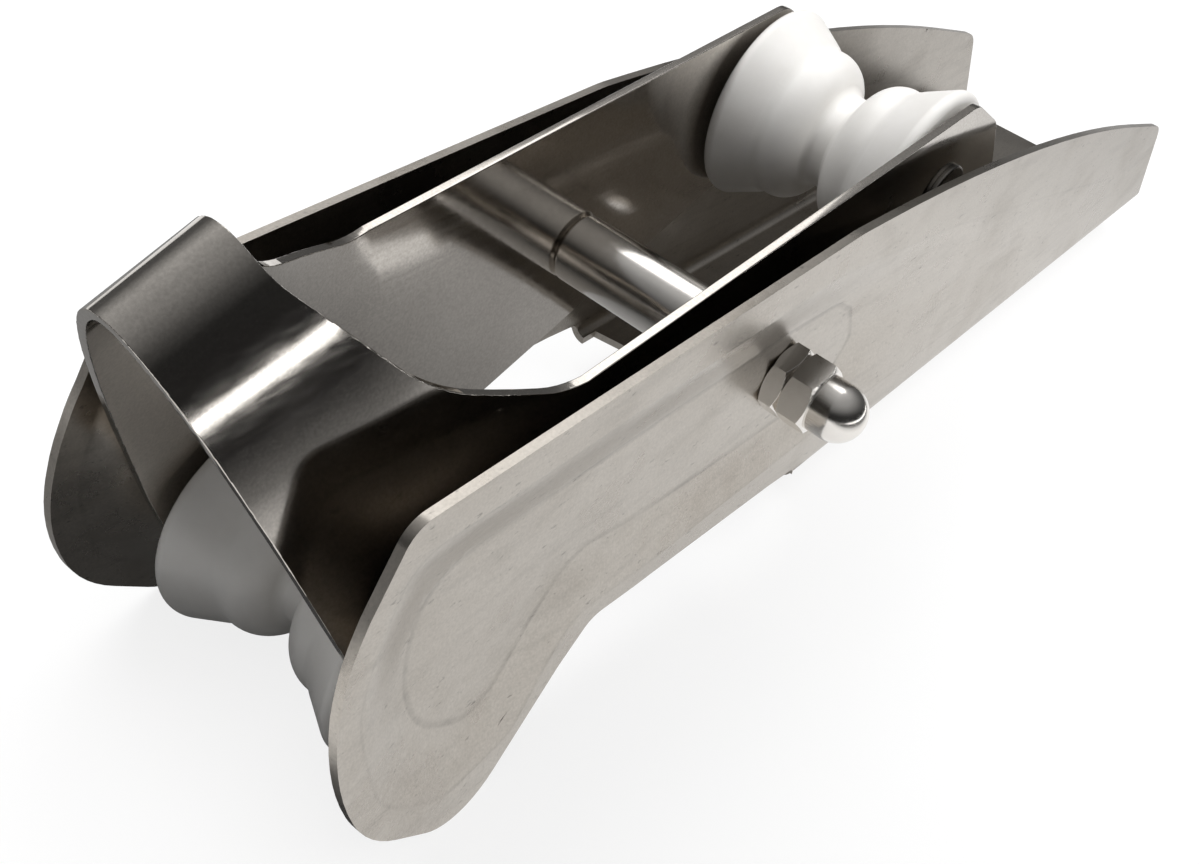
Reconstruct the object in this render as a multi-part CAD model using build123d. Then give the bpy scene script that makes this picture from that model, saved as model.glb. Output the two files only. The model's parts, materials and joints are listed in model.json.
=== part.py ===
from build123d import *
import math
import os

# Tilting bow roller, millimetres.
# Outlines are measured from the pivot axis along X and from the underside of the floor along Z.
# +X points forward over the bow, +Z is up, and the part is symmetric about Y = 0.
# The part's origin is the centre of the deck bolt pattern on the underside.

# Sheet and main sizes
SHEET = 2.5
BASE_HALF_WIDTH = 45.0
BEND_INNER_RADIUS = 3.5
PIVOT_X = 150.0
PIVOT_HEIGHT = 52.4
REST_TILT = 21.3

# Cradle
WALL_GAP = 2.3
HOOP_FRONT = 144.6
HOOP_REAR = 103.0
WALLS_PARALLEL_FROM = 68.0
HOOP_SPRING_HEIGHT = 40.0
HOOP_CREST = 141.0
HOOP_POWER = 1.1

# Embossed panel of each cheek
EMBOSS_DEPTH = 4.5
EMBOSS_WALL_EXTRA = 0.8

# Slope of the panel's edge: share of the way from the outer to the inner outline, share of depth
EMBOSS_SLOPE = [(0, 0), (0.15, 0.07), (0.85, 0.93), (1, 1)]

# Outward flare of the front lobes, beyond a slanted bend line through the floor level
FLARE_X = 55.0
FLARE_ANGLE = 30.0
FLARE_SLOPE = 0.14
FLARE_BAND = 12.0

# Rollers, pins and their places in the cradle's own frame
ROLLER_RADIUS = 31.0
ROLLER_SIDE_GAP = 2.2
ROLLER_RIM_RADIUS = 2.75
ROLLER_SHOULDER_RADIUS = 24.3
ROLLER_SHOULDER_END = 14.6
ROLLER_GROOVE_RADIUS = 15.0
ROLLER_GROOVE_HALF = 2.0
FRONT_PIN = (124.0, 16.3)
REAR_PIN = (-86.8, -7.5)
PIN_DIAMETER = 12.0
PIN_HEAD_DIAMETER = 22.0
PIN_HEAD_HEIGHT = 1.7
PIN_WASHER = 0.7
PIN_RING = 0.8
PIN_END = 0.3
PIN_GROOVE_DEPTH = 0.6
RING_DIAMETER = 17.0

# Pivot hardware, M12
BOLT_DIAMETER = 12.0
SLEEVE_DIAMETER = 21.3
ACROSS_FLATS = 19.0
HEX_NUT_HEIGHT = 6.0
DOME_NUT_HEIGHT = 22.0
DOME_HEX_HEIGHT = 8.5
DOME_RADIUS = 8.5
WASHER_DIAMETER = 28.0

# Deck bolt holes
HOLE_SPACING_X = 100.0
HOLE_SPACING_Y = 36.0
HOLE_DIAMETER = 8.5

# Fits
RUNNING = 0.05
SEATED = 0.02
SIDE_PLAY = 0.1

CHEEK_INNER = BASE_HALF_WIDTH - SHEET
PANEL_OUTER = BASE_HALF_WIDTH - EMBOSS_DEPTH
PANEL_INNER = PANEL_OUTER - SHEET
WALL_OUTER_HALF = PANEL_INNER - WALL_GAP
WALL_INNER_HALF = WALL_OUTER_HALF - SHEET
ROLLER_HALF_LENGTH = WALL_INNER_HALF - ROLLER_SIDE_GAP
WASHER_THICKNESS = WALL_GAP - SIDE_PLAY
FLOOR_FRONT = -25.0
FLOOR_REAR = -305.5
BOW_FRONT = 174.5
CHEEK_TOP = 96.6
LOBE_BOTTOM = -19.5
WALL_FOOT = -34.0
CUT_MARGIN = 10.0
FLOOR_FRONT_ARC = 200.0
FLOOR_FRONT_DIP = 10.0

# Outlines as corners (along, up, rounding radius)
CHEEK = [
    (FLOOR_REAR, -1, 0),
    (-281, 44.5, 15),
    (-136, 88, 1000),
    (-12, CHEEK_TOP, 60),
    (151, 94, 8),
    (BOW_FRONT, 46, 70),
    (159, 5.5, 43),
    (126.5, LOBE_BOTTOM, 22),
    (75.5, 13.5, 12),
    (54, 11, 100),
    (-10, 7.5, 40),
    (FLOOR_FRONT, 6, 3),
    (FLOOR_FRONT, -1, 0),
]
EMBOSS_OUTER = [
    (-274, 26, 6),
    (-166, 53, 60),
    (-81, 73, 60),
    (-10, 85, 60),
    (100, 84.5, 1000),
    (150, 84.5, 12),
    (163, 47, 40),
    (155.5, 13, 26),
    (133, -4, 18),
    (107, -3, 10),
    (84, 20, 14),
    (56, 17, 100),
    (-29, 18, 200),
    (-140, 14, 200),
]
EMBOSS_INNER = [
    (-42, 46, 6),
    (-34, 60, 6),
    (-24, 66, 6),
    (0, 68, 20),
    (70, 68.5, 600),
    (140, 68, 16),
    (146.5, 42, 40),
    (141.5, 20, 26),
    (122, 1, 14),
    (109, 1.5, 8),
    (78, 36, 14),
    (60, 34, 250),
    (-14, 31, 20),
    (-34, 34, 8),
]
CRADLE = [
    (HOOP_FRONT, HOOP_CREST + 8, 0),
    (118.5, HOOP_CREST + 8, 0),
    (118, 133, 24),
    (101, 93, 40),
    (74, 70.5, 30),
    (-102, 18.5, 10),
    (-117, 0, 12),
    (-124, WALL_FOOT, 9),
    (60, -24, 30),
    (HOOP_FRONT, 2.2, 21),
]


def rounded_wire(corners, place):
    """Closed outline through the corners, each rounded by its radius."""
    edges = []
    last = None
    first = None
    count = len(corners)
    for i in range(count):
        before = Vector(*corners[i - 1][:2])
        corner = Vector(*corners[i][:2])
        after = Vector(*corners[(i + 1) % count][:2])
        radius = corners[i][2]
        back = (before - corner).normalized()
        ahead = (after - corner).normalized()
        half = math.acos(max(-1.0, min(1.0, back.dot(ahead)))) / 2
        if radius > 0:
            run = radius / math.tan(half)
            start = corner + back * run
            end = corner + ahead * run
            middle_dir = (back + ahead).normalized()
            centre = corner + middle_dir * (radius / math.sin(half))
            middle = centre - middle_dir * radius
        else:
            start = end = corner
            middle = None
        if last is not None:
            edges.append(Line(place(last), place(start)))
        else:
            first = start
        if middle is not None:
            edges.append(ThreePointArc(place(start), place(middle), place(end)))
        last = end
    edges.append(Line(place(last), place(first)))
    return edges


def side_face(corners, y):
    """Face of an outline that stands in the X-Z plane at the given Y."""
    return make_face(rounded_wire(corners, lambda p: (p.X, y, p.Y)))


def inset(corners, amount):
    """The outline moved inward by the amount, for outlines that run clockwise."""
    moved = []
    count = len(corners)
    for i in range(count):
        before = Vector(*corners[i - 1][:2])
        corner = Vector(*corners[i][:2])
        after = Vector(*corners[(i + 1) % count][:2])
        into = (corner - before).normalized()
        out = (after - corner).normalized()
        turn = into.X * out.Y - into.Y * out.X
        normal_in = Vector(into.Y, -into.X)
        normal_out = Vector(out.Y, -out.X)
        bisector = (normal_in + normal_out).normalized()
        shift = amount / bisector.dot(normal_in)
        new = corner + bisector * shift
        radius = corners[i][2] + (amount if turn > 0 else -amount)
        moved.append((new.X, new.Y, max(radius, 0.5)))
    return moved


def prism(corners):
    """The outline carried through the full width of the part."""
    reach = 2 * BASE_HALF_WIDTH
    return extrude(side_face(corners, -reach), 2 * reach, dir=(0, 1, 0))


def cylinder_y(radius, start, end, x=0.0, z=0.0):
    """Cylinder along Y between two places."""
    disc = Plane(origin=(x, start, z), x_dir=(1, 0, 0), z_dir=(0, 1, 0)) * Circle(radius)
    return extrude(disc, end - start, dir=(0, 1, 0))


def through_y(radius, x=0.0, z=0.0):
    """Cylinder through the full width of the part."""
    return cylinder_y(radius, -2 * BASE_HALF_WIDTH, 2 * BASE_HALF_WIDTH, x, z)


def to_part(shape):
    """From the pivot's own X to the part's origin."""
    return Pos(PIVOT_X, 0, 0) * shape


def to_pivot(shape):
    """Hardware built round the Y axis, moved to the pivot."""
    return Pos(PIVOT_X, 0, PIVOT_HEIGHT) * shape


def cradle_to_part(shape):
    """From the cradle's own frame to the part, with the nose down."""
    return Pos(PIVOT_X, 0, PIVOT_HEIGHT) * Rot(0, REST_TILT, 0) * shape


def channel_section():
    """Cross section of the folded sheet, seen along X."""
    outer = BEND_INNER_RADIUS + SHEET
    height = CHEEK_TOP + CUT_MARGIN
    solid = Pos(0, height / 2) * Rectangle(2 * BASE_HALF_WIDTH, height)
    solid = fillet(solid.vertices().filter_by(lambda v: v.Y < 1), outer)
    hollow = Pos(0, SHEET + height / 2) * Rectangle(2 * CHEEK_INNER, height)
    hollow = fillet(hollow.vertices().filter_by(lambda v: v.Y < SHEET + 1), BEND_INNER_RADIUS)
    return solid - hollow


def emboss(skin, side, grow):
    """Solid between the skin of a cheek and the flat of its panel, with a soft slope round it."""
    rings = []
    for share, sunk in EMBOSS_SLOPE:
        between = []
        for outer, inner in zip(EMBOSS_OUTER, EMBOSS_INNER):
            between.append(tuple(o + share * (i - o) for o, i in zip(outer, inner)))
        y = side * (skin - sunk * EMBOSS_DEPTH)
        rings.append(rounded_wire(inset(between, -grow), lambda p: (p.X, y, p.Y)))
    faces = [make_face(rings[0]), make_face(rings[-1])]
    for upper, lower in zip(rings, rings[1:]):
        for a, b in zip(upper, lower):
            faces.append(Face.make_surface_from_curves(a.edge(), b.edge()))
    return Solid(Shell(faces))


def flare(sheet, side, start):
    """Lean one cheek outward beyond a slanted line, by a third of the full slope."""
    angle = math.radians(FLARE_ANGLE)
    along = (math.cos(angle), math.sin(angle))
    down = (math.sin(angle), -math.cos(angle))
    reach = 2 * BOW_FRONT
    foot = (FLARE_X + down[0] * start, down[1] * start)
    region = prism(
        [
            (foot[0] - along[0] * reach, foot[1] - along[1] * reach, 0),
            (foot[0] + along[0] * reach, foot[1] + along[1] * reach, 0),
            (foot[0] + (along[0] + down[0]) * reach, foot[1] + (along[1] + down[1]) * reach, 0),
            (foot[0] + (down[0] - along[0]) * reach, foot[1] + (down[1] - along[1]) * reach, 0),
        ]
    )
    half = Pos(0, side * BASE_HALF_WIDTH, 0) * Box(4 * reach, 2 * BASE_HALF_WIDTH, 4 * reach)
    region = region & half
    lean = side * FLARE_SLOPE / 3
    offset = -lean * (down[0] * foot[0] + down[1] * foot[1])
    shear = Matrix(
        [
            [1, 0, 0, 0],
            [lean * down[0], 1, lean * down[1], offset],
            [0, 0, 1, 0],
            [0, 0, 0, 1],
        ]
    )
    leaning = (sheet & region).transform_geometry(shear)
    return (sheet - region) + leaning


def base_channel():
    """Floor and both cheeks, one folded sheet with an embossed panel in each cheek."""
    back = FLOOR_REAR - CUT_MARGIN
    section = Plane(origin=(back, 0, 0), x_dir=(0, 1, 0), z_dir=(1, 0, 0)) * channel_section()
    sheet = extrude(section, FLOOR_FRONT - back, dir=(1, 0, 0))
    length = BOW_FRONT - FLOOR_FRONT
    height = CHEEK_TOP + CUT_MARGIN - 2 * LOBE_BOTTOM
    for side in (-1, 1):
        middle = (
            (BOW_FRONT + FLOOR_FRONT) / 2,
            side * (BASE_HALF_WIDTH - SHEET / 2),
            2 * LOBE_BOTTOM + height / 2,
        )
        sheet += Pos(*middle) * Box(length, SHEET, height)
    sheet = sheet & prism(CHEEK)
    scoop_x = FLOOR_FRONT - FLOOR_FRONT_DIP + FLOOR_FRONT_ARC
    scoop = extrude(Pos(scoop_x, 0) * Circle(FLOOR_FRONT_ARC), CHEEK_TOP, both=True)
    inner = CHEEK_INNER - BEND_INNER_RADIUS
    between = Box(4 * FLOOR_FRONT_ARC, 2 * inner, 2 * CHEEK_TOP)
    sheet -= scoop & between
    for side in (-1, 1):
        sheet += emboss(CHEEK_INNER, side, EMBOSS_WALL_EXTRA)
        sheet -= emboss(BASE_HALF_WIDTH, side, 0.0)
        for start in (-FLARE_BAND, 0.0, FLARE_BAND):
            sheet = flare(sheet, side, start)
    bore = BOLT_DIAMETER / 2 + RUNNING
    sheet -= through_y(bore, 0, PIVOT_HEIGHT)
    sheet = to_part(sheet)
    for x in (-1, 1):
        for y in (-1, 1):
            place = Pos(x * HOLE_SPACING_X / 2, y * HOLE_SPACING_Y / 2, 0)
            sheet -= place * Cylinder(HOLE_DIAMETER / 2, 4 * SHEET)
    return sheet


def hoop_half(height):
    """Outer half width of the hoop at a height above the pivot."""
    if height <= HOOP_SPRING_HEIGHT:
        return WALL_OUTER_HALF
    share = (height - HOOP_SPRING_HEIGHT) / (HOOP_CREST - HOOP_SPRING_HEIGHT)
    return WALL_OUTER_HALF * math.sqrt(max(0.0, 1 - share**HOOP_POWER))


def hoop_curve(offset):
    """Points of the half hoop from the spring line to the crest, moved inward by the offset."""
    points = []
    steps = 9
    for i in range(steps + 1):
        share = 1 - (1 - i / steps) ** 2
        height = HOOP_SPRING_HEIGHT + share * (HOOP_CREST - HOOP_SPRING_HEIGHT)
        y = hoop_half(height)
        if i == 0:
            points.append((y - offset, height))
        elif i == steps:
            points.append((0.0, height - offset))
        else:
            slope = (hoop_half(height + 0.01) - hoop_half(height - 0.01)) / 0.02
            length = math.hypot(1, slope)
            points.append((y - offset / length, height + offset * slope / length))
    return points


def hoop_section(x, side):
    """Half of the hoop's sheet as a face across X."""
    foot = WALL_FOOT - CUT_MARGIN
    outer = [(x, side * y, z) for y, z in hoop_curve(0)]
    inner = [(x, side * y, z) for y, z in hoop_curve(SHEET)]
    up = (0, 0, 1)
    over = (0, -side, 0)
    edges = [
        Line((x, side * WALL_OUTER_HALF, foot), outer[0]),
        Spline(*outer, tangents=(up, over)),
        Line(outer[-1], inner[-1]),
        Spline(*inner, tangents=(up, over)),
        Line(inner[0], (x, side * WALL_INNER_HALF, foot)),
        Line((x, side * WALL_INNER_HALF, foot), (x, side * WALL_OUTER_HALF, foot)),
    ]
    return make_face(edges)


def wall_section(x, side):
    """Half of the straight walls as a face across X, with the hoop section's edges."""
    foot = WALL_FOOT - CUT_MARGIN
    outer = side * WALL_OUTER_HALF
    inner = side * WALL_INNER_HALF
    edges = [
        Line((x, outer, foot), (x, outer, HOOP_SPRING_HEIGHT)),
        Line((x, outer, HOOP_SPRING_HEIGHT), (x, outer, HOOP_CREST)),
        Line((x, outer, HOOP_CREST), (x, inner, HOOP_CREST)),
        Line((x, inner, HOOP_CREST), (x, inner, HOOP_SPRING_HEIGHT)),
        Line((x, inner, HOOP_SPRING_HEIGHT), (x, inner, foot)),
        Line((x, inner, foot), (x, outer, foot)),
    ]
    return make_face(edges)


def tilting_cradle():
    """Hoop and walls, one bent sheet, with its pin and pivot holes."""
    sheet = None
    for side in (-1, 1):
        hoop = extrude(hoop_section(HOOP_REAR, side), HOOP_FRONT - HOOP_REAR, dir=(1, 0, 0))
        blend = loft(
            [wall_section(WALLS_PARALLEL_FROM, side), hoop_section(HOOP_REAR, side)], ruled=True
        )
        rear = -HOOP_CREST
        wall = extrude(wall_section(rear, side), WALLS_PARALLEL_FROM - rear, dir=(1, 0, 0))
        half = (wall + blend + hoop) & prism(CRADLE)
        sheet = half if sheet is None else sheet + half
    sheet -= through_y(BOLT_DIAMETER / 2 + RUNNING)
    for x, z in (FRONT_PIN, REAR_PIN):
        sheet -= through_y(PIN_DIAMETER / 2 + SEATED, x, z)
    return cradle_to_part(sheet)


def roller(place):
    """Roller with rounded flanges, a shoulder on each side and a chain groove at the middle."""
    bore = PIN_DIAMETER / 2 + RUNNING
    groove = ROLLER_GROOVE_RADIUS
    shoulder = ROLLER_SHOULDER_RADIUS
    rise = shoulder - groove
    width = ROLLER_SHOULDER_END - ROLLER_GROOVE_HALF
    rim = ROLLER_RIM_RADIUS
    rim_y = ROLLER_HALF_LENGTH - rim
    rim_r = ROLLER_RADIUS - rim

    def on_rim(degrees):
        turn = math.radians(degrees)
        return (rim_r + rim * math.sin(turn), rim_y - rim * math.cos(turn))

    groove_end = (groove, ROLLER_GROOVE_HALF)
    neck = (groove + 0.32 * rise, ROLLER_GROOVE_HALF + 0.19 * width)
    neck_mid = (groove + 0.13 * rise, ROLLER_GROOVE_HALF + 0.13 * width)
    crown_mid = (groove + 0.78 * rise, ROLLER_GROOVE_HALF + 0.43 * width)
    crown = (shoulder, ROLLER_SHOULDER_END)
    foot_mid = (shoulder + 0.06 * rise, ROLLER_SHOULDER_END + 0.14 * width)
    foot = (shoulder + 0.17 * rise, ROLLER_SHOULDER_END + 0.27 * width)
    half = [
        Line((bore, 0), (groove, 0)),
        Line((groove, 0), groove_end),
        ThreePointArc(groove_end, neck_mid, neck),
        ThreePointArc(neck, crown_mid, crown),
        ThreePointArc(crown, foot_mid, foot),
        Line(foot, on_rim(62)),
        ThreePointArc(on_rim(62), on_rim(76), on_rim(90)),
        ThreePointArc(on_rim(90), on_rim(135), on_rim(180)),
        Line(on_rim(180), (bore, ROLLER_HALF_LENGTH)),
        Line((bore, ROLLER_HALF_LENGTH), (bore, 0)),
    ]
    one = revolve(make_face(half), Axis.Y)
    body = one + mirror(one, Plane.XZ)
    return cradle_to_part(Pos(place[0], 0, place[1]) * body)


def roller_pin(place):
    """Headed pin, with a groove for its ring at the plain end."""
    radius = PIN_DIAMETER / 2
    tail = -(WALL_OUTER_HALF + PIN_WASHER + PIN_RING + PIN_END)
    pin = cylinder_y(radius, tail, WALL_OUTER_HALF + PIN_HEAD_HEIGHT)
    head = cylinder_y(PIN_HEAD_DIAMETER / 2, WALL_OUTER_HALF, WALL_OUTER_HALF + PIN_HEAD_HEIGHT)
    head = fillet(head.edges().sort_by(Axis.Y)[-1], 0.8)
    pin += head
    groove = cylinder_y(radius + 1, tail + PIN_END, tail + PIN_END + PIN_RING)
    groove -= cylinder_y(radius - PIN_GROOVE_DEPTH, tail, tail + PIN_END + 2 * PIN_RING)
    pin -= groove
    return cradle_to_part(Pos(place[0], 0, place[1]) * pin)


def pin_washer(place):
    """Washer between the wall and the ring at the plain end of a pin."""
    start = -(WALL_OUTER_HALF + PIN_WASHER)
    washer = cylinder_y(PIN_HEAD_DIAMETER / 2, start, start + PIN_WASHER)
    washer -= cylinder_y(PIN_DIAMETER / 2 + SEATED, start - 1, start + PIN_WASHER + 1)
    return cradle_to_part(Pos(place[0], 0, place[1]) * washer)


def pin_ring(place):
    """Open retaining ring in the groove of a pin."""
    start = -(WALL_OUTER_HALF + PIN_WASHER + PIN_RING)
    ring = cylinder_y(RING_DIAMETER / 2, start, start + PIN_RING)
    inner = PIN_DIAMETER / 2 - PIN_GROOVE_DEPTH + SEATED
    ring -= cylinder_y(inner, start - 1, start + PIN_RING + 1)
    ring -= Pos(-RING_DIAMETER / 2, start + PIN_RING / 2, 0) * Box(RING_DIAMETER, 4, 7)
    return cradle_to_part(Pos(place[0], 0, place[1]) * ring)


def hex_prism(start, height):
    """Hexagonal prism along Y with its corners turned off at both ends."""
    plane = Plane(origin=(0, start, 0), x_dir=(1, 0, 0), z_dir=(0, 1, 0))
    corner = ACROSS_FLATS / math.sqrt(3)
    body = extrude(plane * RegularPolygon(corner, 6, rotation=14), height, dir=(0, 1, 0))
    edge = 0.485 * ACROSS_FLATS
    outside = 1.02 * corner
    drop = (outside - edge) * math.tan(math.radians(30))
    profile = make_face(
        Polyline(
            (0, start),
            (edge, start),
            (outside, start + drop),
            (outside, start + height - drop),
            (edge, start + height),
            (0, start + height),
            close=True,
        )
    )
    return body & revolve(profile, Axis.Y)


def hex_nut():
    """Thin hex nut on the left, against the panel."""
    nut = hex_prism(PANEL_OUTER, HEX_NUT_HEIGHT)
    return nut - through_y(BOLT_DIAMETER / 2 + SEATED)


def dome_nut():
    """Dome nut on the left, against the hex nut."""
    start = PANEL_OUTER + HEX_NUT_HEIGHT
    centre = start + DOME_NUT_HEIGHT - DOME_RADIUS
    nut = hex_prism(start, DOME_HEX_HEIGHT)
    nut += cylinder_y(DOME_RADIUS, start, centre)
    nut += Pos(0, centre, 0) * Sphere(DOME_RADIUS)
    return nut - cylinder_y(BOLT_DIAMETER / 2 + SEATED, 0, start + DOME_HEX_HEIGHT + 4)


def pivot_bolt():
    """Threaded rod from dome nut to dome nut."""
    end = PANEL_OUTER + HEX_NUT_HEIGHT + DOME_HEX_HEIGHT + 3
    rod = cylinder_y(BOLT_DIAMETER / 2, -end, end)
    return chamfer(rod.edges().filter_by(GeomType.CIRCLE), 1.0)


def pivot_sleeve():
    """Tube between the cradle walls round the bolt."""
    tube = cylinder_y(SLEEVE_DIAMETER / 2, -WALL_INNER_HALF, WALL_INNER_HALF)
    tube = chamfer(tube.edges().filter_by(GeomType.CIRCLE), 1.2)
    return tube - through_y(BOLT_DIAMETER / 2 + RUNNING)


def thrust_washer():
    """Washer on the left, seated on the inside of the panel."""
    start = PANEL_INNER - WASHER_THICKNESS
    washer = cylinder_y(WASHER_DIAMETER / 2, start, PANEL_INNER)
    return washer - through_y(BOLT_DIAMETER / 2 + SEATED)


def right(shape):
    """The same piece on the right."""
    return mirror(shape, Plane.XZ)


NODES = {
    "base_channel": base_channel(),
    "tilting_cradle": tilting_cradle(),
    "front_roller": roller(FRONT_PIN),
    "rear_roller": roller(REAR_PIN),
    "front_roller_pin": roller_pin(FRONT_PIN),
    "rear_roller_pin": roller_pin(REAR_PIN),
    "front_pin_washer": pin_washer(FRONT_PIN),
    "rear_pin_washer": pin_washer(REAR_PIN),
    "front_pin_ring": pin_ring(FRONT_PIN),
    "rear_pin_ring": pin_ring(REAR_PIN),
    "pivot_sleeve": cradle_to_part(pivot_sleeve()),
    "pivot_bolt": to_pivot(pivot_bolt()),
    "hex_nut_left": to_pivot(hex_nut()),
    "hex_nut_right": to_pivot(right(hex_nut())),
    "dome_nut_left": to_pivot(dome_nut()),
    "dome_nut_right": to_pivot(right(dome_nut())),
    "thrust_washer_left": to_pivot(thrust_washer()),
    "thrust_washer_right": to_pivot(right(thrust_washer())),
}

os.makedirs("parts", exist_ok=True)
for name, shape in NODES.items():
    export_step(shape, f"parts/{name}.step")
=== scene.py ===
# Tilting bow roller: skins, finishes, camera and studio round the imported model
import json
import math

import bmesh
import bpy
import numpy as np
from mathutils import Euler, Matrix, Vector
from mathutils.geometry import interpolate_bezier


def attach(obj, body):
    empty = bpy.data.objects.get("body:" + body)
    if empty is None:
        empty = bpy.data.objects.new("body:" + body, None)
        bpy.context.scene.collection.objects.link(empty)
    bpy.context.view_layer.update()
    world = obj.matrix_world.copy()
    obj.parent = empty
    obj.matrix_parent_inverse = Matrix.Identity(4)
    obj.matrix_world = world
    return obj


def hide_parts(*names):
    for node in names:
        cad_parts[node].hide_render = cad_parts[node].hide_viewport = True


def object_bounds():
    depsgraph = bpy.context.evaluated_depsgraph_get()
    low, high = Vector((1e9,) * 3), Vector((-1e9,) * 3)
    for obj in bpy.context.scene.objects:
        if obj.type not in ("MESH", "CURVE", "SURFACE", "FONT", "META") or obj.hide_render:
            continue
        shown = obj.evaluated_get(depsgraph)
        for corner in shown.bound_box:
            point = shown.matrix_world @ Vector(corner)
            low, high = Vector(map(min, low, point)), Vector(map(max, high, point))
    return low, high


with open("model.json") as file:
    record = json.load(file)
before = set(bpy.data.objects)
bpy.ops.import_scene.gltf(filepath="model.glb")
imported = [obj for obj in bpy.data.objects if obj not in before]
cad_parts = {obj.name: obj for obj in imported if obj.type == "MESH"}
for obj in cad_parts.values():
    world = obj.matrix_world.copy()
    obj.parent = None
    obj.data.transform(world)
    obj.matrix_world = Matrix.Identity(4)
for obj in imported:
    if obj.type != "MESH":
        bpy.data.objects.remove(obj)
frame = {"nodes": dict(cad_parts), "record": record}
cad_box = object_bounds()
nodes = frame["nodes"]

MM = 0.001
LOWEST = cad_box[0][2]

# Width of the eased edges in millimetres, by node
EASED_EDGES = [
    (0.45, ("base_channel", "tilting_cradle")),
    (0.3, ("front_roller", "rear_roller")),
    (0.15, ("front_roller_pin", "rear_roller_pin")),
    (0.12, ("front_pin_washer", "rear_pin_washer", "front_pin_ring", "rear_pin_ring")),
    (0.2, ("pivot_sleeve", "hex_nut_left", "hex_nut_right", "dome_nut_left", "dome_nut_right")),
]
EDGE_SEGMENTS = 2
EDGE_FROM = math.radians(28)
SHARP_FROM = math.radians(35)
FLAT_WITHIN = math.radians(0.5)
EVEN_WEIGHT = 50

# Distances in metres and areas in square metres that count as nothing, and a normal too short to use
SAME_PLACE = 1e-6
SLIVER_WIDTH = 2e-6
SLIVER_AREA = 1e-11
SHORT_NORMAL = 0.5

# Pivot of the cradle and how far its nose hangs at rest
PIVOT = Vector((0.150, 0.0, 0.0524))
TILT = math.radians(21.3)
TO_CRADLE = Matrix.Rotation(-TILT, 4, "Y") @ Matrix.Translation(-PIVOT)

# Sheet of the cradle, in millimetres from the pivot in the cradle's own frame
SHEET = 2.5
WALL_OUTER = 35.7
SPRING = 40.0
CREST = 141.0
HOOP_POWER = 1.1
BLEND_FROM = 68.0
BLEND_TO = 103.0

# Steps of the hoop's line, and the height over which its direction is measured
HOOP_KNOTS = 9
KNOT_STEPS = 8
DIRECTION_REACH = 0.01

# Cuts through the bent part of the cradle, and which points of the hoop's lines give the levels
CUTS_FROM = 54.0
CUT_STEP = 3.5
CUT_COUNT = 27
NEAR_CUT = 0.01
OUTER_LEVELS = slice(2, -1, 2)
INNER_LEVELS = slice(-36, -1, 3)

# How near a vertex is to a skin of the cradle, and how well its faces agree with that skin
SNAP = 0.3
SAME_SKIN = 0.9
RIM_SKIN = 0.97
BLEND_EASE = 11.0

# Pressed panel of a cheek: corners ahead of the pivot and above the floor, with their radii, in millimetres
PANEL_BORDER = [
    (-274, 26, 6), (-166, 53, 60), (-81, 73, 60), (-10, 85, 60), (100, 84.5, 1000), (150, 84.5, 12),
    (163, 47, 40), (155.5, 13, 26), (133, -4, 18), (107, -3, 10), (84, 20, 14), (56, 17, 100),
    (-29, 18, 200), (-140, 14, 200),
]
PANEL_FLAT = [
    (-42, 46, 6), (-34, 60, 6), (-24, 66, 6), (0, 68, 20), (70, 68.5, 600), (139, 68, 16),
    (145, 42, 40), (139, 22, 26), (122, 10, 12), (111, 12, 10), (84, 40, 16), (62, 35, 250),
    (-14, 31, 20), (-34, 34, 8),
]
PANEL_DEPTH = 4.5
SLOPE_SOFTNESS = 0.3
CORNER_STEPS = 8
NO_LENGTH_SQUARED = 1e-12
NO_DISTANCE = 1e-6

# Cheeks: outer and inner skin, outward lean of the front lobes beyond three slanted lines
CHEEK_SKINS = (45.0, 42.5)
FLARE_FROM = 55.0
FLARE_DOWN = (0.5, -math.cos(math.radians(30)))
FLARE_SLOPE = 0.14
FLARE_STARTS = (-12.0, 0.0, 12.0)

# Places of the channel that keep their form: pivot hole, floor with its bolt holes, bends, rims
HOLE_KEPT = 9.0
CHEEKS_FROM = 33.0
BEND_TOP = 5.99
BEND_FRONT = -24.0
RIM_TURN = 0.6

# Division of the cheeks
FINE_EDGE = 4.5
FINE_ROUNDS = 7

# Finishes: tones and greys as stops (place on the noise, tone)
SMUDGE_TONES = [(0.30, (0.42, 0.385, 0.34)), (0.50, (0.50, 0.465, 0.42)), (0.68, (0.465, 0.43, 0.385))]
STREAK_GREYS = [(0.32, 0.90), (0.50, 1.0), (0.68, 0.95)]
FLECK_GREYS = [(0.27, 0.62), (0.36, 1.0)]
CHANNEL_GRAIN = [(0.3, 0.91), (0.7, 1.06)]
# Painted shade along the panel's pressed lines: reach of its mask in millimetres, its fade by a streak
# noise, and its greys by distance across each line
CREASE_SHADE_REACH = 8.0
PAINTED_CREASE_FADE = [(0.35, 1.0), (0.65, 0.35)]
PAINTED_CREASE_SHADE = {
    "flat_line": [(0.40, 1.0), (0.47, 0.80), (0.52, 0.74), (0.56, 1.0)],
    "border_line": [(0.42, 1.0), (0.48, 0.88), (0.52, 1.0)],
}
CLOUD_TONES = [(0.3, (0.53, 0.495, 0.455)), (0.7, (0.60, 0.565, 0.52))]
CRADLE_GRAIN = [(0.3, 0.90), (0.7, 1.08)]
NYLON_TONES = [(0.3, (0.80, 0.78, 0.75)), (0.7, (0.86, 0.845, 0.82))]
MACHINED_TONES = [(0.3, (0.15, 0.14, 0.13)), (0.7, (0.22, 0.208, 0.193))]
POLISHED_TONES = [(0.3, (0.76, 0.73, 0.69)), (0.7, (0.84, 0.81, 0.77))]
WASHER_TONES = [(0.3, (0.02, 0.019, 0.018)), (0.7, (0.035, 0.033, 0.031))]
NOISE_SPAN = (0.3, 0.7)

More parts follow.
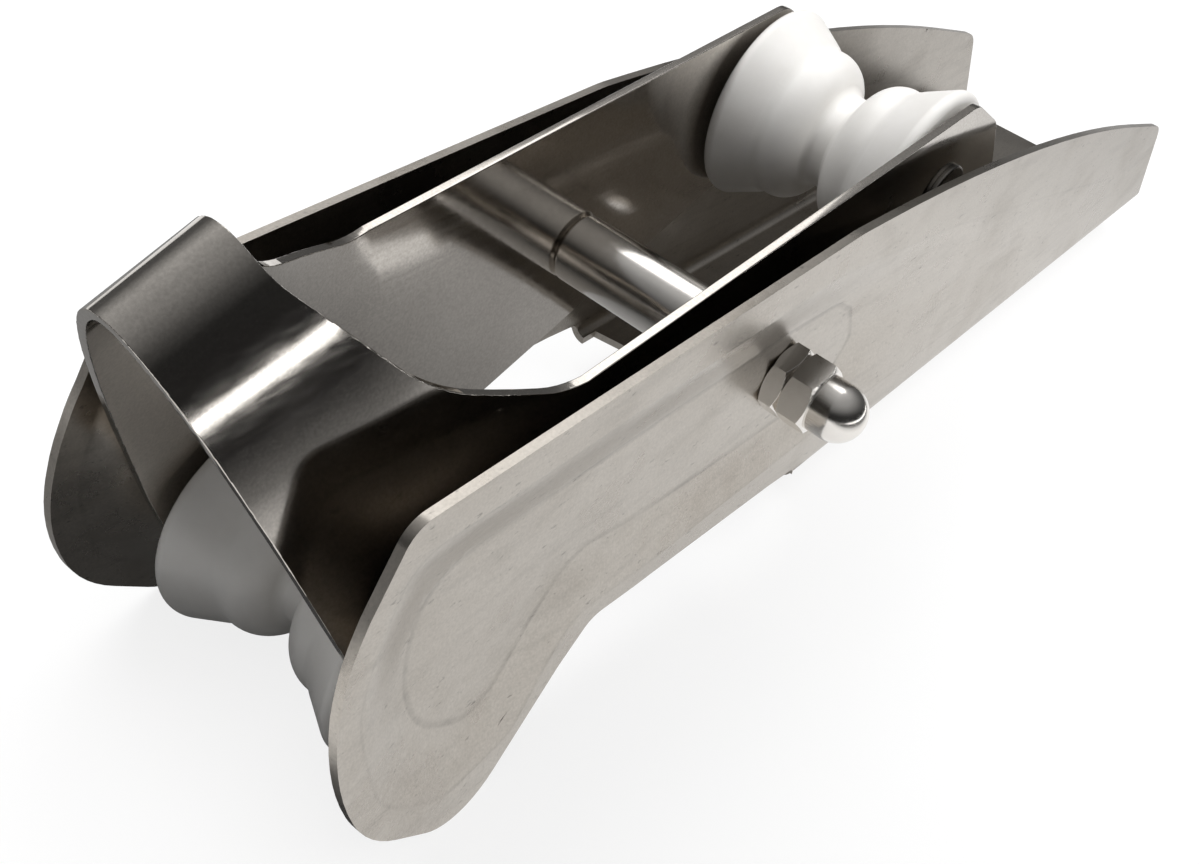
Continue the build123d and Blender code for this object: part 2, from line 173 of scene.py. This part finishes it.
# Roughness of the finishes, from the low to the high end of a noise
CHANNEL_ROUGHNESS = (0.24, 0.36)
CRADLE_ROUGHNESS = (0.07, 0.13)
NYLON_ROUGHNESS = (0.34, 0.46)
MACHINED_ROUGHNESS = (0.20, 0.30)
POLISHED_ROUGHNESS = (0.14, 0.22)
WASHER_ROUGHNESS = 0.55

# Camera fitted to the photograph: place in metres, turn in degrees, lens and sensor in millimetres
CAMERA_PLACE = (0.45257, 0.16543, 0.28778)
CAMERA_TURN = (49.2187, -11.0436, 129.4348)
LENS = 43.913
SENSOR_WIDTH = 36.0
CLIP = (0.01, 20.0)

# Studio: floor and cards just under and over the lowest point, in metres
FLOOR_REACH = 4.0
FLOOR_DROP = 0.0002
FLOOR_COLOUR = (0.20, 0.20, 0.20)
FLOOR_GLOW = 0.82
CARD_LIFT = 0.002
MATT = 0.9

# Sky by height, glow towards one direction, and the high even sky that lights only matt surfaces
SKY = [(0.0, 0.02), (0.34, 0.025), (0.50, 0.06), (0.75, 0.16), (0.9, 0.24), (1.0, 0.24)]
GLOW_FROM = (-0.30, -0.38, 0.87)
GLOW = [(0.0, 0.0), (0.3, 0.06), (0.7, 0.10), (0.9, 0.22), (1.0, 0.4)]
SOFT_SKY = [(0.0, 0.01), (0.66, 0.04), (0.82, 1.1), (1.0, 1.2)]

# Lamps: place, target, size in metres, power in watts, whether the steel mirrors it
MIDDLE = (0.12, 0.0, 0.05)
LAMPS = {
    "key": ((-0.05, 0.55, 1.05), MIDDLE, (0.8, 0.8), 8.2, False),
    "fill": ((0.38, -0.42, 0.95), (0.07, 0.0, 0.08), (0.5, 0.5), 2.6, False),
    "top_softbox": ((-0.38, -0.51, 1.06), MIDDLE, (0.72, 0.66), 2.4, True),
    "strip": ((-0.2, 1.15, 0.04), (0.28, 0.0, 0.10), (2.4, 0.065), 1.5, True),
}

# Cards that only the steel mirrors, glowing in greys along one axis: painted reflections of a bright floor
# near the object and a dark studio beyond, and painted shade under and beside it. Two corners, the axis
# that they are shaded along, and greys as stops (metres along it, grey)
ALONG_X, ALONG_Y = 0, 1
PAINTED_REFLECTION_CARDS = {
    "card_left": (
        (-1.6, 0.14), (0.7, 1.5), ALONG_Y,
        [(0.14, 1.05), (0.24, 0.75), (0.33, 0.2), (0.45, 0.08), (0.6, 0.02)],
    ),
    "card_rear": (
        (-1.6, -0.3), (-0.08, 0.14), ALONG_X,
        [(-1.0, 0.6), (-0.45, 0.7), (-0.3, 0.8), (-0.2, 0.9), (-0.14, 0.99), (-0.08, 1.05)],
    ),
    "card_front": ((0.8, -1.5), (2.2, 1.5), ALONG_X, [(0.8, 0.06), (1.0, 0.03)]),
    # Painted shade: floor darker near the object on this side, in the steel's reflections
    "card_right": (
        (0.12, -1.30), (0.60, -0.06), ALONG_Y, [(-1.3, 1.0), (-0.8, 0.40), (-0.3, 0.28), (-0.1, 0.25)],
    ),
    # Painted shadow: dark floor under the object, in the steel's reflections
    "card_under": ((0.10, -0.06), (0.345, 0.05), ALONG_X, [(0.12, 0.40), (0.19, 0.22), (0.25, 0.06)]),
}
FLAG_LOW, FLAG_HIGH, FLAG_HEIGHT = (0.10, 0.01), (0.34, 0.25), 0.25


# Material helpers
def new_material(name):
    material = bpy.data.materials.new(name)
    material.use_nodes = True
    tree = material.node_tree
    shader = tree.nodes["Principled BSDF"]
    return material, tree, shader


def object_coordinates(tree, scale=(1, 1, 1), turn=(0, 0, 0)):
    """Object coordinates through a Mapping node."""
    coordinates = tree.nodes.new("ShaderNodeTexCoord")
    mapping = tree.nodes.new("ShaderNodeMapping")
    mapping.inputs["Scale"].default_value = scale
    mapping.inputs["Rotation"].default_value = turn
    tree.links.new(coordinates.outputs["Object"], mapping.inputs["Vector"])
    return mapping.outputs["Vector"]


def noise(tree, vector, scale, detail, roughness):
    texture = tree.nodes.new("ShaderNodeTexNoise")
    texture.inputs["Scale"].default_value = scale
    texture.inputs["Detail"].default_value = detail
    texture.inputs["Roughness"].default_value = roughness
    tree.links.new(vector, texture.inputs["Vector"])
    return texture.outputs["Fac"]


def ramp(tree, value, stops):
    """Colour ramp with grey or colour stops."""
    node = tree.nodes.new("ShaderNodeValToRGB")
    elements = node.color_ramp.elements
    elements.remove(elements[1])
    elements[0].position = stops[0][0]
    for place, _ in stops[1:]:
        elements.new(place)
    for element, (_, colour) in zip(elements, stops):
        if isinstance(colour, (int, float)):
            colour = (colour, colour, colour)
        element.color = (*colour, 1.0)
    tree.links.new(value, node.inputs["Fac"])
    return node.outputs["Color"]


def map_range(tree, value, low, high, span=NOISE_SPAN):
    """A value's span carried over to low and high."""
    node = tree.nodes.new("ShaderNodeMapRange")
    node.inputs["From Min"].default_value = span[0]
    node.inputs["From Max"].default_value = span[1]
    node.inputs["To Min"].default_value = low
    node.inputs["To Max"].default_value = high
    tree.links.new(value, node.inputs["Value"])
    return node.outputs["Result"]


def mix_colour(tree, amount, first, second, blend="MIX"):
    node = tree.nodes.new("ShaderNodeMix")
    node.data_type = "RGBA"
    node.blend_type = blend
    if isinstance(amount, (int, float)):
        node.inputs["Factor"].default_value = amount
    else:
        tree.links.new(amount, node.inputs["Factor"])
    tree.links.new(first, node.inputs[6])
    tree.links.new(second, node.inputs[7])
    return node.outputs[2]


def shaded(tree, tone, value, greys):
    """A tone multiplied by the greys of a ramp."""
    return mix_colour(tree, 1.0, tone, ramp(tree, value, greys), "MULTIPLY")


def painted_crease_mask(tree, line):
    """Mask for the painted shade along a pressed line: 0 to 1 across it, from well inside it to well
    outside.
    """
    distance = tree.nodes.new("ShaderNodeAttribute")
    distance.attribute_name = line
    return map_range(tree, distance.outputs["Fac"], 0.0, 1.0, (-CREASE_SHADE_REACH, CREASE_SHADE_REACH))


def bump(tree, shader, height, strength, distance):
    node = tree.nodes.new("ShaderNodeBump")
    node.inputs["Strength"].default_value = strength
    node.inputs["Distance"].default_value = distance
    tree.links.new(height, node.inputs["Height"])
    tree.links.new(node.outputs["Normal"], shader.inputs["Normal"])


def calculated(tree, operation, *values):
    """Result of a Math node, from sockets or plain numbers."""
    node = tree.nodes.new("ShaderNodeMath")
    node.operation = operation
    for socket, value in zip(node.inputs, values):
        if isinstance(value, (int, float)):
            socket.default_value = value
        else:
            tree.links.new(value, socket)
    return node.outputs[0]


# Materials
def satin_channel_steel():
    """Pressed stainless sheet, rolled finish with faint smudges, flecks and fine marks, and painted shade
    along the pressed lines.
    """
    material, tree, shader = new_material("channel_steel")
    shader.inputs["Metallic"].default_value = 1.0
    wide = object_coordinates(tree)
    along = object_coordinates(tree, scale=(9, 60, 60), turn=(0, 0.35, 0))
    fine_along = object_coordinates(tree, scale=(120, 300, 300), turn=(0, 0.5, 0))
    smudge = noise(tree, wide, scale=26.0, detail=6.0, roughness=0.65)
    streak = noise(tree, along, scale=3.0, detail=4.0, roughness=0.6)
    fleck = noise(tree, fine_along, scale=2.2, detail=3.0, roughness=0.65)
    grain = noise(tree, wide, scale=1400.0, detail=2.0, roughness=0.5)
    tone = ramp(tree, smudge, SMUDGE_TONES)
    tone = shaded(tree, tone, streak, STREAK_GREYS)
    tone = shaded(tree, tone, fleck, FLECK_GREYS)
    tone = shaded(tree, tone, grain, CHANNEL_GRAIN)
    # Painted shade: darker lines along the pressed lines of the panel, partly broken up by the streak noise
    for line, greys in PAINTED_CREASE_SHADE.items():
        crease_shaded = shaded(tree, tone, painted_crease_mask(tree, line), greys)
        tone = mix_colour(tree, ramp(tree, streak, PAINTED_CREASE_FADE), tone, crease_shaded)
    tree.links.new(tone, shader.inputs["Base Color"])
    tree.links.new(map_range(tree, smudge, *CHANNEL_ROUGHNESS), shader.inputs["Roughness"])
    bump(tree, shader, fleck, strength=0.05, distance=0.0002)
    return material


def polished_cradle_steel():
    """Darker, smoother polished sheet of the cradle."""
    material, tree, shader = new_material("cradle_steel")
    shader.inputs["Metallic"].default_value = 1.0
    wide = object_coordinates(tree)
    brushed = object_coordinates(tree, scale=(20, 500, 300), turn=(0, 0.37, 0))
    cloud = noise(tree, wide, scale=30.0, detail=5.0, roughness=0.6)
    grain = noise(tree, wide, scale=1400.0, detail=2.0, roughness=0.5)
    polish = noise(tree, brushed, scale=2.0, detail=3.0, roughness=0.6)
    tone = shaded(tree, ramp(tree, cloud, CLOUD_TONES), grain, CRADLE_GRAIN)
    tree.links.new(tone, shader.inputs["Base Color"])
    tree.links.new(map_range(tree, polish, *CRADLE_ROUGHNESS), shader.inputs["Roughness"])
    return material


def roller_nylon():
    """White nylon, turned, with a soft sheen and faint handling marks."""
    material, tree, shader = new_material("roller_nylon")
    turned = object_coordinates(tree, scale=(1, 900, 1))
    cloud = noise(tree, object_coordinates(tree), scale=60.0, detail=5.0, roughness=0.6)
    lines = noise(tree, turned, scale=1.0, detail=2.0, roughness=0.5)
    tree.links.new(ramp(tree, cloud, NYLON_TONES), shader.inputs["Base Color"])
    tree.links.new(map_range(tree, cloud, *NYLON_ROUGHNESS), shader.inputs["Roughness"])
    bump(tree, shader, lines, strength=0.05, distance=0.0002)
    return material


def bright_hardware(name, roughness, tones):
    """Polished or machined fasteners, with light handling marks."""
    material, tree, shader = new_material(name)
    shader.inputs["Metallic"].default_value = 1.0
    wide = object_coordinates(tree)
    cloud = noise(tree, wide, scale=120.0, detail=4.0, roughness=0.6)
    fine = noise(tree, wide, scale=900.0, detail=2.0, roughness=0.5)
    tree.links.new(ramp(tree, cloud, tones), shader.inputs["Base Color"])
    tree.links.new(map_range(tree, cloud, *roughness), shader.inputs["Roughness"])
    bump(tree, shader, fine, strength=0.03, distance=0.0001)
    return material


def washer_plastic():
    """Dark nylon washers in the pivot gap."""
    material, tree, shader = new_material("washer_plastic")
    fine = noise(tree, object_coordinates(tree), scale=500.0, detail=3.0, roughness=0.5)
    tree.links.new(ramp(tree, fine, WASHER_TONES), shader.inputs["Base Color"])
    shader.inputs["Roughness"].default_value = WASHER_ROUGHNESS
    bump(tree, shader, fine, strength=0.1, distance=0.0001)
    return material


FINISHES = {
    "channel_steel": satin_channel_steel(),
    "cradle_steel": polished_cradle_steel(),
    "roller_nylon": roller_nylon(),
    "hardware_steel": bright_hardware("hardware_steel", MACHINED_ROUGHNESS, MACHINED_TONES),
    "polished_steel": bright_hardware("polished_steel", POLISHED_ROUGHNESS, POLISHED_TONES),
    "washer_plastic": washer_plastic(),
}


def finish_of(node):
    for entry in frame["record"]["subparts"]:
        if entry["node"] == node:
            return entry["material_slot"]
    return "hardware_steel"


# Skins
def eased_mesh(node, edge):
    """Merged triangles of a CAD node, with its flat areas joined and its sharp edges eased."""
    work = bmesh.new()
    work.from_mesh(nodes[node].data)
    bmesh.ops.remove_doubles(work, verts=work.verts, dist=SAME_PLACE)
    bmesh.ops.dissolve_limit(
        work, angle_limit=FLAT_WITHIN, use_dissolve_boundaries=False, verts=work.verts, edges=work.edges,
    )
    corners = [e for e in work.edges if e.is_manifold and e.calc_face_angle(0) > EDGE_FROM]
    bmesh.ops.bevel(
        work, geom=corners, offset=edge, offset_type="OFFSET", segments=EDGE_SEGMENTS,
        profile=0.5, affect="EDGES", material=-1, clamp_overlap=True,
    )
    return work


def finished_piece(node, work, normals):
    """Object that stands for a CAD node, shaded by the normals given or else by the area of its faces."""
    mesh = bpy.data.meshes.new(node + "_skin")
    work.to_mesh(mesh)
    work.free()
    piece = bpy.data.objects.new(node + "_skin", mesh)
    bpy.context.scene.collection.objects.link(piece)
    mesh.shade_smooth()
    if normals:
        mesh.normals_split_custom_set_from_vertices(normals)
    else:
        mesh.set_sharp_from_angle(angle=SHARP_FROM)
        even = piece.modifiers.new("even_shading", "WEIGHTED_NORMAL")
        even.mode = "FACE_AREA"
        even.weight = EVEN_WEIGHT
        even.keep_sharp = True
    piece.data.materials.append(FINISHES[finish_of(node)])
    for body, members in frame["record"]["behaviour"]["bodies"].items():
        if node in members:
            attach(piece, body)
    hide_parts(node)


# Hoop of the cradle, seen along it: points hold half width and height
def half_width(height):
    share = (height - SPRING) / (CREST - SPRING)
    return WALL_OUTER * math.sqrt(max(0.0, 1 - max(0.0, share) ** HOOP_POWER))


def knot_direction(knot, height):
    """Direction of the hoop's line at a knot: upright at the spring, level at the crest."""
    if knot == 0:
        return Vector((0.0, 1.0))
    if knot == HOOP_KNOTS:
        return Vector((-1.0, 0.0))
    run = half_width(height + DIRECTION_REACH) - half_width(height - DIRECTION_REACH)
    return Vector((run / (2 * DIRECTION_REACH), 1.0)).normalized()


def hoop_line(offset):
    """Half of the hoop's line at a depth in the sheet, with how far along it each point is."""
    knots = []
    for knot in range(HOOP_KNOTS + 1):
        height = SPRING + (1 - (1 - knot / HOOP_KNOTS) ** 2) * (CREST - SPRING)
        along = knot_direction(knot, height)
        inward = Vector((-along.y, along.x))
        knots.append((Vector((half_width(height), height)) + inward * offset, along))
    points = [(knots[0][0].copy(), 0.0)]
    done = 0.0
    for (a, along_a), (b, along_b) in zip(knots, knots[1:]):
        span = (b - a).length
        curve = interpolate_bezier(a, a + along_a * span / 3, b - along_b * span / 3, b, KNOT_STEPS + 1)
        for k in range(1, KNOT_STEPS + 1):
            points.append((Vector(curve[k][:2]), done + span * k / KNOT_STEPS))
        done += span
    return [(point, place / done) for point, place in points]


# The hoop's line on the outer skin, then on the inner one
HOOP_LINES = [hoop_line(0.0), hoop_line(SHEET)]


def wall_point(depth, place):
    """Point of the flat wall's skin that belongs to a place along the hoop's line."""
    return Vector((WALL_OUTER - depth * SHEET, SPRING + place * (CREST - SPRING)))


def cradle_line(depth, x):
    """Half section of the cradle's skin at a distance ahead of the pivot: wall, blend or hoop."""
    share = min(1.0, max(0.0, (x - BLEND_FROM) / (BLEND_TO - BLEND_FROM)))
    return [wall_point(depth, place).lerp(point, share) for point, place in HOOP_LINES[depth]]


def nearest_on_skins(x, here):
    """Nearest place on both skins: its gap, skin, line, segment and share of the segment."""
    best = None
    for depth in (0, 1):
        line = cradle_line(depth, x)
        for k, (a, b) in enumerate(zip(line, line[1:])):
            run = b - a
            share = min(1.0, max(0.0, (here - a).dot(run) / run.length_squared))
            gap = (here - a - run * share).length
            if best is None or gap < best[0]:
                best = (gap, depth, line, k, share)
    return best


def line_direction(line, k, share):
    """Direction along a line, eased from segment to segment and level at the crest."""
    before = (line[k + 1] - line[max(k - 1, 0)]).normalized()
    after = (line[min(k + 2, len(line) - 1)] - line[k]).normalized()
    if k + 1 >= len(line) - 1:
        after = Vector((-1.0, 0.0))
    return before.lerp(after, share).normalized()


def skin_normal(x, side, depth, line, k, share):
    """Normal of a skin at a place of its section, eased at both ends of the blend."""
    along = line_direction(line, k, share)
    out = Vector((along.y, -along.x)) * (1 if depth == 0 else -1)
    (low, low_place), (high, high_place) = HOOP_LINES[depth][k], HOOP_LINES[depth][k + 1]
    hoop = low.lerp(high, share)
    wall = wall_point(depth, low_place * (1 - share) + high_place * share)
    into_blend = (x - BLEND_FROM + BLEND_EASE) / (2 * BLEND_EASE)
    out_of_blend = (BLEND_TO + BLEND_EASE - x) / (2 * BLEND_EASE)
    slope = (hoop - wall) / (BLEND_TO - BLEND_FROM) * max(0.0, min(1.0, into_blend, out_of_blend))
    return Vector((-out.dot(slope), side * out.x, out.y)).normalized()


def cut_bent_part(work):
    """Cut the bent part of the cradle at stations along it and at levels of its line."""
    bmesh.ops.triangulate(work, faces=work.faces)
    cuts = [(((CUTS_FROM + CUT_STEP * k) * MM, 0, 0), (1, 0, 0)) for k in range(CUT_COUNT)]
    levels = HOOP_LINES[0][OUTER_LEVELS] + HOOP_LINES[1][INNER_LEVELS]
    cuts += [((0, 0, point.y * MM), (0, 0, 1)) for point, _ in levels]
    for place, facing in cuts:
        bent = [f for f in work.faces if max(v.co.x for v in f.verts) > (CUTS_FROM - NEAR_CUT) * MM]
        edges = dict.fromkeys(e for f in bent for e in f.edges)
        verts = dict.fromkeys(v for f in bent for v in f.verts)
        bmesh.ops.bisect_plane(
            work, geom=[*verts, *edges, *bent], dist=SLIVER_WIDTH, plane_co=place, plane_no=facing,
            clear_inner=False, clear_outer=False,
        )
    work.normal_update()


def laid_on_curve(work):
    """Lay the vertices of the bent part on the true curve, and collect the normals of its skins."""
    normals = {}
    for vert in work.verts:
        x, y, z = vert.co / MM
        faces = [f for f in vert.link_faces if f.calc_area() > SLIVER_AREA]
        if x < CUTS_FROM - NEAR_CUT or z < SPRING or not faces:
            continue
        gap, depth, line, k, share = nearest_on_skins(x, Vector((abs(y), z)))
        if gap > SNAP:
            continue
        side = math.copysign(1.0, y)
        normal = skin_normal(x, side, depth, line, k, share)
        agreement = [f.normal.dot(normal) for f in faces]
        if min(agreement) >= SAME_SKIN:
            near = line[k] + (line[k + 1] - line[k]) * share
            vert.co = Vector((x, side * near.x, near.y)) * MM
            normals[vert] = normal
        elif max(agreement) > RIM_SKIN:
            normals[vert] = normal
    return normals


def smooth_hoop(work):
    """Finely cut skin of the cradle on the true curve of its hoop, and the normals of its vertices."""
    work.transform(TO_CRADLE)
    cut_bent_part(work)
    normals = laid_on_curve(work)
    back = TO_CRADLE.inverted()
    work.transform(back)
    work.normal_update()
    turn = back.to_3x3()
    steady = []
    for vert in work.verts:
        if vert in normals:
            steady.append(turn @ normals[vert])
            continue
        total = sum((f.normal * f.calc_area() for f in vert.link_faces), Vector())
        steady.append(total.normalized() if total.length > 0 else vert.normal.copy())
    return work, steady


# Pressed panel of the cheeks
def rounded_outline(corners):
    """Closed line of points through corners rounded by their radii."""
    points = []
    for i, (x, z, radius) in enumerate(corners):
        here = Vector((x, z))
        back = (Vector(corners[i - 1][:2]) - here).normalized()
        ahead = (Vector(corners[(i + 1) % len(corners)][:2]) - here).normalized()
        half = math.acos(max(-1.0, min(1.0, back.dot(ahead)))) / 2
        centre = here + (back + ahead).normalized() * radius / math.sin(half)
        first = here + back * radius / math.tan(half) - centre
        last = here + ahead * radius / math.tan(half) - centre
        for k in range(CORNER_STEPS + 1):
            share = k / CORNER_STEPS
            points.append(centre + (first * (1 - share) + last * share).normalized() * radius)
    return np.array([(p.x, p.y) for p in points])


def outline_distance(points, outline):
    """Distance from each point to a closed line, and whether the point is inside it."""
    nearest = np.full(len(points), np.inf)
    inside = np.zeros(len(points), dtype=bool)
    for a, b in zip(outline, np.roll(outline, -1, axis=0)):
        run = b - a
        length_squared = float(run @ run)
        if length_squared < NO_LENGTH_SQUARED:
            continue
        share = np.clip(((points - a) @ run) / length_squared, 0, 1)
        nearest = np.minimum(nearest, np.hypot(*(points - a - share[:, None] * run).T))
        crosses = (a[1] > points[:, 1]) != (b[1] > points[:, 1])
        with np.errstate(divide="ignore", invalid="ignore"):
            at = a[0] + (points[:, 1] - a[1]) / (b[1] - a[1]) * run[0]
        inside ^= crosses & (points[:, 0] < at)
    return nearest, inside


def in_bend(place):
    """Whether a place is in the bends between floor and cheeks, which keep their round."""
    return place.z < BEND_TOP * MM and place.x - PIVOT.x < BEND_FRONT * MM


def on_cheek(edge):
    """Whether an edge lies in the skin of a cheek, away from rims, bends and floor."""
    return all(abs(f.normal.y) > RIM_TURN for f in edge.link_faces) and any(
        abs(v.co.y) > CHEEKS_FROM * MM and not in_bend(v.co) for v in edge.verts
    )


def only_skin(vert):
    """Whether no rim meets at a vertex, slivers aside."""
    return all(
        abs(f.normal.y) > RIM_TURN or f.normal.length < SHORT_NORMAL or f.calc_area() < SLIVER_AREA
        for f in vert.link_faces
    )


def divide_cheeks(work):
    """Divide the skins of the cheeks into small triangles."""
    bmesh.ops.triangulate(work, faces=work.faces)
    for _ in range(FINE_ROUNDS):
        work.normal_update()
        long = [e for e in work.edges if e.calc_length() > FINE_EDGE * MM and on_cheek(e)]
        if not long:
            break
        bmesh.ops.subdivide_edges(work, edges=long, cuts=1)
        bmesh.ops.triangulate(work, faces=[f for f in work.faces if len(f.verts) > 3])
    bmesh.ops.dissolve_degenerate(work, dist=SLIVER_WIDTH, edges=work.edges)
    bmesh.ops.triangulate(work, faces=[f for f in work.faces if len(f.verts) > 3])
    work.normal_update()


def pressed_depth(to_border, within, to_flat, flat):
    """Depth of the panel: none outside its border, full in its flat, a softened slope between."""
    slope = to_border / np.maximum(to_border + to_flat, NO_DISTANCE)
    share = np.where(flat, 1.0, np.where(within, slope, 0.0))
    soft = share * share * (3 - 2 * share)
    return PANEL_DEPTH * (SLOPE_SOFTNESS * soft + (1 - SLOPE_SOFTNESS) * share)


def outward_lean(places):
    """Lean of the front lobes, which starts gently over three slanted lines."""
    lean = np.zeros(len(places))
    for start in FLARE_STARTS:
        beyond = (places[:, 0] - FLARE_FROM) * FLARE_DOWN[0] + places[:, 1] * FLARE_DOWN[1] - start
        lean += np.maximum(0.0, beyond) * FLARE_SLOPE / len(FLARE_STARTS)
    return lean


def softened_press(work):
    """Divide the cheeks finely and lay their skins on the soft form of the pressed panel."""
    divide_cheeks(work)
    # Distances across the pressed lines, which carry the painted shade along them
    for name in PAINTED_CREASE_SHADE:
        work.verts.layers.float.new(name)
    border_line = work.verts.layers.float["border_line"]
    flat_line = work.verts.layers.float["flat_line"]
    verts = list(work.verts)
    places = np.array([(v.co.x - PIVOT.x, v.co.z) for v in verts]) / MM
    to_border, within = outline_distance(places, rounded_outline(PANEL_BORDER))
    to_flat, flat = outline_distance(places, rounded_outline(PANEL_FLAT))
    depth = pressed_depth(to_border, within, to_flat, flat)
    lean = outward_lean(places)
    from_hole = np.hypot(places[:, 0], places[:, 1] - PIVOT.z / MM)
    for k, vert in enumerate(verts):
        vert[border_line] = -to_border[k] if within[k] else to_border[k]
        vert[flat_line] = -to_flat[k] if flat[k] else to_flat[k]
        if in_bend(vert.co) or abs(vert.co.y) < CHEEKS_FROM * MM:
            continue
        if not (within[k] and from_hole[k] > HOLE_KEPT) and not only_skin(vert):
            continue
        side = math.copysign(1.0, vert.co.y)
        facing = sum(f.normal.y for f in vert.link_faces) * side
        vert.co.y = side * (CHEEK_SKINS[0 if facing > 0 else 1] - depth[k] + lean[k]) * MM
    return work


for name, obj in nodes.items():
    obj.data.materials.clear()
    obj.data.materials.append(FINISHES[finish_of(name)])

for width, names in EASED_EDGES:
    for name in names:
        skin, normals = eased_mesh(name, width * MM), None
        if name == "tilting_cradle":
            skin, normals = smooth_hoop(skin)
        elif name == "base_channel":
            skin = softened_press(skin)
        finished_piece(name, skin, normals)


# Camera
def photo_camera():
    data = bpy.data.cameras.new("photo_camera")
    data.sensor_fit = "HORIZONTAL"
    data.sensor_width = SENSOR_WIDTH
    data.lens = LENS
    data.clip_start, data.clip_end = CLIP
    camera = bpy.data.objects.new("photo_camera", data)
    bpy.context.scene.collection.objects.link(camera)
    camera.location = CAMERA_PLACE
    camera.rotation_euler = Euler([math.radians(angle) for angle in CAMERA_TURN])
    bpy.context.scene.camera = camera


# Studio
def seen_directly(tree):
    """1 for camera, glossy and transmission rays, 0 for the rays that light the object."""
    path = tree.nodes.new("ShaderNodeLightPath")
    first = calculated(tree, "MAXIMUM", path.outputs["Is Camera Ray"], path.outputs["Is Glossy Ray"])
    return calculated(tree, "MAXIMUM", first, path.outputs["Is Transmission Ray"])


def flat_sheet(name, low, high, height):
    """Flat rectangle at one height, facing up, with a matt material."""
    work = bmesh.new()
    bmesh.ops.create_grid(work, x_segments=1, y_segments=1, size=0.5)
    bmesh.ops.scale(work, verts=work.verts, vec=(high[0] - low[0], high[1] - low[1], 1))
    middle = ((low[0] + high[0]) / 2, (low[1] + high[1]) / 2, height)
    bmesh.ops.translate(work, verts=work.verts, vec=middle)
    mesh = bpy.data.meshes.new(name)
    work.to_mesh(mesh)
    work.free()
    sheet = bpy.data.objects.new(name, mesh)
    bpy.context.scene.collection.objects.link(sheet)
    material, tree, shader = new_material(name)
    shader.inputs["Base Color"].default_value = (0, 0, 0, 1)
    shader.inputs["Roughness"].default_value = MATT
    shader.inputs["Specular IOR Level"].default_value = 0.0
    mesh.materials.append(material)
    return sheet, tree, shader


def white_floor():
    """Pale floor at the lowest point, which keeps the shadow and reads white round it."""
    reach = (FLOOR_REACH, FLOOR_REACH)
    _, tree, shader = flat_sheet("floor", (-FLOOR_REACH, -FLOOR_REACH), reach, LOWEST - FLOOR_DROP)
    shader.inputs["Base Color"].default_value = (*FLOOR_COLOUR, 1)
    shader.inputs["Emission Color"].default_value = (1, 1, 1, 1)
    level = calculated(tree, "MULTIPLY", seen_directly(tree), FLOOR_GLOW)
    tree.links.new(level, shader.inputs["Emission Strength"])


def painted_reflection_card(name, low, high, axis, stops):
    """Card flat above the floor that only the steel mirrors, glowing in greys along one axis: a painted
    reflection.
    """
    card, tree, shader = flat_sheet(name, low, high, LOWEST + CARD_LIFT)
    split = tree.nodes.new("ShaderNodeSeparateXYZ")
    tree.links.new(object_coordinates(tree), split.inputs[0])
    start, end = stops[0][0], stops[-1][0]
    share = map_range(tree, split.outputs[axis], 0.0, 1.0, (start, end))
    tones = ramp(tree, share, [((place - start) / (end - start), tone) for place, tone in stops])
    tree.links.new(tones, shader.inputs["Emission Color"])
    shader.inputs["Emission Strength"].default_value = 1.0
    card.visible_camera = False
    card.visible_diffuse = False
    card.visible_shadow = False
    card.visible_transmission = False


def front_flag():
    """Black flag that keeps the key and the high sky off the front roller, not mirrored by the steel."""
    flag, _, _ = flat_sheet("shade_front", FLAG_LOW, FLAG_HIGH, FLAG_HEIGHT)
    flag.visible_camera = False
    flag.visible_glossy = False
    flag.visible_transmission = False


def studio_world():
    """Dim sky, brighter overhead and towards one side, white where the camera looks past the floor."""
    world = bpy.data.worlds.new("studio")
    bpy.context.scene.world = world
    world.use_nodes = True
    tree = world.node_tree
    background = tree.nodes["Background"]
    background.inputs["Color"].default_value = (1, 1, 1, 1)
    coordinates = tree.nodes.new("ShaderNodeTexCoord")
    split = tree.nodes.new("ShaderNodeSeparateXYZ")
    tree.links.new(coordinates.outputs["Generated"], split.inputs[0])
    facing = tree.nodes.new("ShaderNodeVectorMath")
    facing.operation = "DOT_PRODUCT"
    tree.links.new(coordinates.outputs["Generated"], facing.inputs[0])
    facing.inputs[1].default_value = Vector(GLOW_FROM).normalized()
    height = split.outputs["Z"]
    sky = calculated(tree, "ADD", ramp(tree, height, SKY), ramp(tree, facing.outputs["Value"], GLOW))
    path = tree.nodes.new("ShaderNodeLightPath")
    soft_sky = ramp(tree, height, SOFT_SKY)
    lit = calculated(tree, "MULTIPLY_ADD", path.outputs["Is Diffuse Ray"], soft_sky, sky)
    seen = calculated(tree, "MAXIMUM", path.outputs["Is Camera Ray"], path.outputs["Is Transmission Ray"])
    tree.links.new(calculated(tree, "MAXIMUM", seen, lit), background.inputs["Strength"])


def softbox(name, place, target, size, power, mirrored):
    data = bpy.data.lights.new(name, "AREA")
    data.shape = "RECTANGLE"
    data.size, data.size_y = size
    data.energy = power
    lamp = bpy.data.objects.new(name, data)
    bpy.context.scene.collection.objects.link(lamp)
    lamp.location = place
    lamp.rotation_euler = (Vector(place) - Vector(target)).to_track_quat("Z", "Y").to_euler()
    lamp.visible_glossy = mirrored


photo_camera()
white_floor()
studio_world()
front_flag()
for name, settings in LAMPS.items():
    softbox(name, *settings)
# Cards seen only in the steel: painted reflections, and painted shade under and beside the object
for name, settings in PAINTED_REFLECTION_CARDS.items():
    painted_reflection_card(name, *settings)

scene = bpy.context.scene
scene.view_settings.view_transform = "Standard"
